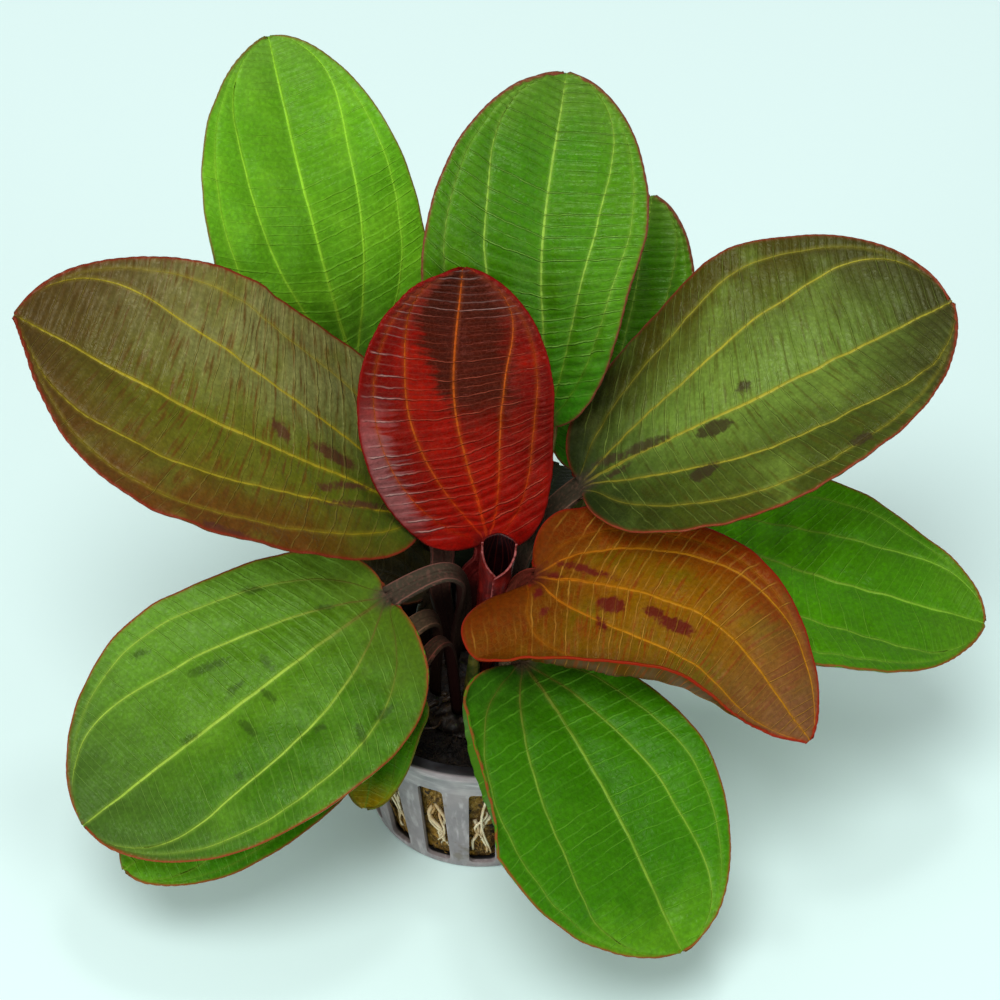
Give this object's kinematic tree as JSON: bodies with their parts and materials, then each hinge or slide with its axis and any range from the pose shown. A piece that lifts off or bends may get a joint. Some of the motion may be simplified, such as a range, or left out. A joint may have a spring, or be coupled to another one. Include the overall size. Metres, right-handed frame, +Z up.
{
  "type": "potted amazon sword plant",
  "caption": "Rosette of broad oval leaves, green, bronze and red, on channelled stalks from a short crown in a slotted net pot filled with dark rooting medium.",
  "frame": {"origin": "middle of the pot's underside, on the surface that the pot stands on", "axes": "+Z up along the pot's axis, -Y towards the front of the plant, +X to its right as seen from the front"},
  "size_m": [0.1648, 0.1185, 0.1232],
  "materials": {
    "pot_plastic": "grey moulded plastic, slightly glossy",
    "medium": "wet dark brown mineral wool with fine roots",
    "crown": "brown fibrous stem with pale root stubs",
    "leaf_green": "waxy leaf, lime veins",
    "leaf_bronze": "waxy olive-bronze leaf, yellow veins, red margin",
    "leaf_orange": "waxy orange-brown leaf, orange veins, red margin",
    "leaf_red": "waxy dark red leaf, raised ladder-like veins",
    "leaf_dark": "old dark green leaf"
  },
  "bodies": {
    "root": {"net_pot": "pot_plastic", "growing_medium": "medium", "crown": "crown", "leaf_front_left": "leaf_green", "leaf_front_right": "leaf_green", "leaf_right_orange": "leaf_orange", "leaf_right_bronze": "leaf_bronze", "leaf_left_bronze": "leaf_bronze", "leaf_centre_red": "leaf_red", "leaf_back_middle": "leaf_green", "leaf_back_left": "leaf_green", "leaf_right_green": "leaf_green", "leaf_low_left": "leaf_green", "leaf_small_front": "leaf_green", "leaf_back_right": "leaf_green", "leaf_old_left": "leaf_dark", "leaf_old_back": "leaf_dark", "leaf_young_furled": "leaf_red"}
  },
  "joints": []
}
